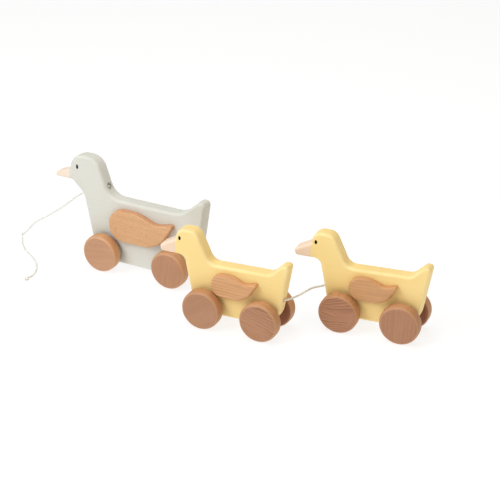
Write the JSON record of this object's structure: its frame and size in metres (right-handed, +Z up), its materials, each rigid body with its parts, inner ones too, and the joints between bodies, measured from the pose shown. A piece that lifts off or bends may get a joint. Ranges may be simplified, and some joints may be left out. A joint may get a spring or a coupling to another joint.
{
  "type": "pull-along duck",
  "caption": "Wooden pull-along mother duck with ducklings in tow: painted flat boards with glued bare-wood wings, rolling on thick wooden wheels and roped together with cord.",
  "frame": {"origin": "on the floor, below the middle of the box round the three ducks", "axes": "+Z up; the mother looks towards -X, the train runs behind her towards +X, and the ducks' left sides face -Y"},
  "size_m": [0.4711, 0.1122, 0.1157],
  "materials": {
    "mother_paint": "matte pale sage grey paint on wood",
    "duckling_paint": "matte pastel yellow paint on wood",
    "beak_paint": "matte pale pink paint on wood",
    "wing_wood": "bare beech, fine grain",
    "wheel_wood": "stained wood, satin",
    "dowel_wood": "bare beech dowel",
    "eye_ink": "black print",
    "cord": "off-white braided cotton cord"
  },
  "bodies": {
    "mother": {"mother_body": "mother_paint", "mother_beak": "beak_paint", "mother_eyes": "eye_ink", "mother_wing_left": "wing_wood", "mother_wing_right": "wing_wood", "mother_wing_dowels": "dowel_wood", "mother_stern_knot": "cord", "mother_stern_plug": "mother_paint", "pull_cord": "cord", "pull_cord_knot": "cord", "pull_cord_end_knot": "cord"},
    "mother_front_wheelset": {"mother_front_axle": "dowel_wood", "mother_front_left_wheel": "wheel_wood", "mother_front_right_wheel": "wheel_wood"},
    "mother_rear_wheelset": {"mother_rear_axle": "dowel_wood", "mother_rear_left_wheel": "wheel_wood", "mother_rear_right_wheel": "wheel_wood"},
    "tow_cord_1": {"tow_cord_1": "cord"},
    "duckling_1": {"duckling_1_body": "duckling_paint", "duckling_1_beak": "beak_paint", "duckling_1_eyes": "eye_ink", "duckling_1_wing_left": "wing_wood", "duckling_1_wing_right": "wing_wood", "duckling_1_wing_dowels": "dowel_wood", "duckling_1_breast_knot": "cord", "duckling_1_breast_plug": "duckling_paint", "duckling_1_stern_knot": "cord", "duckling_1_stern_plug": "duckling_paint"},
    "duckling_1_front_wheelset": {"duckling_1_front_axle": "dowel_wood", "duckling_1_front_left_wheel": "wheel_wood", "duckling_1_front_right_wheel": "wheel_wood"},
    "duckling_1_rear_wheelset": {"duckling_1_rear_axle": "dowel_wood", "duckling_1_rear_left_wheel": "wheel_wood", "duckling_1_rear_right_wheel": "wheel_wood"},
    "tow_cord_2": {"tow_cord_2": "cord"},
    "duckling_2": {"duckling_2_body": "duckling_paint", "duckling_2_beak": "beak_paint", "duckling_2_eyes": "eye_ink", "duckling_2_wing_left": "wing_wood", "duckling_2_wing_right": "wing_wood", "duckling_2_wing_dowels": "dowel_wood", "duckling_2_breast_knot": "cord", "duckling_2_breast_plug": "duckling_paint"},
    "duckling_2_front_wheelset": {"duckling_2_front_axle": "dowel_wood", "duckling_2_front_left_wheel": "wheel_wood", "duckling_2_front_right_wheel": "wheel_wood"},
    "duckling_2_rear_wheelset": {"duckling_2_rear_axle": "dowel_wood", "duckling_2_rear_left_wheel": "wheel_wood", "duckling_2_rear_right_wheel": "wheel_wood"}
  },
  "joints": [
    {"name": "mother_front_roll", "type": "hinge", "parent": "mother", "child": "mother_front_wheelset", "pos_m": [-0.14455, 0.02557, 0.0195], "axis": [0, -1, 0], "continuous": true},
    {"name": "mother_rear_roll", "type": "hinge", "parent": "mother", "child": "mother_rear_wheelset", "pos_m": [-0.06395, 0.02557, 0.0195], "axis": [0, -1, 0], "continuous": true},
    {"name": "duckling_1_front_roll", "type": "hinge", "parent": "duckling_1", "child": "duckling_1_front_wheelset", "pos_m": [0.00611, -0.03166, 0.0195], "axis": [0.0645, -0.9979, 0], "continuous": true},
    {"name": "duckling_1_rear_roll", "type": "hinge", "parent": "duckling_1", "child": "duckling_1_rear_wheelset", "pos_m": [0.06578, -0.0278, 0.0195], "axis": [0.0645, -0.9979, 0], "continuous": true},
    {"name": "duckling_2_front_roll", "type": "hinge", "parent": "duckling_2", "child": "duckling_2_front_wheelset", "pos_m": [0.12126, 0.02383, 0.0195], "axis": [0.1184, -0.993, 0], "continuous": true},
    {"name": "duckling_2_rear_roll", "type": "hinge", "parent": "duckling_2", "child": "duckling_2_rear_wheelset", "pos_m": [0.18063, 0.03091, 0.0195], "axis": [0.1184, -0.993, 0], "continuous": true},
    {"name": "tow_cord_1_swing", "type": "hinge", "parent": "mother", "child": "tow_cord_1", "pos_m": [-0.03726, 0.02557, 0.0375], "axis": [0, 0, 1], "range_deg": [-4, 106]},
    {"name": "duckling_1_swing", "type": "hinge", "parent": "tow_cord_1", "child": "duckling_1", "pos_m": [-0.01214, -0.03284, 0.0375], "axis": [0, 0, 1], "range_deg": [-109, 4]},
    {"name": "tow_cord_2_swing", "type": "hinge", "parent": "duckling_1", "child": "tow_cord_2", "pos_m": [0.08268, -0.02671, 0.0375], "axis": [0, 0, 1], "range_deg": [-104, 4]},
    {"name": "duckling_2_swing", "type": "hinge", "parent": "tow_cord_2", "child": "duckling_2", "pos_m": [0.1031, 0.02167, 0.0375], "axis": [0, 0, 1], "range_deg": [-4, 98]}
  ]
}
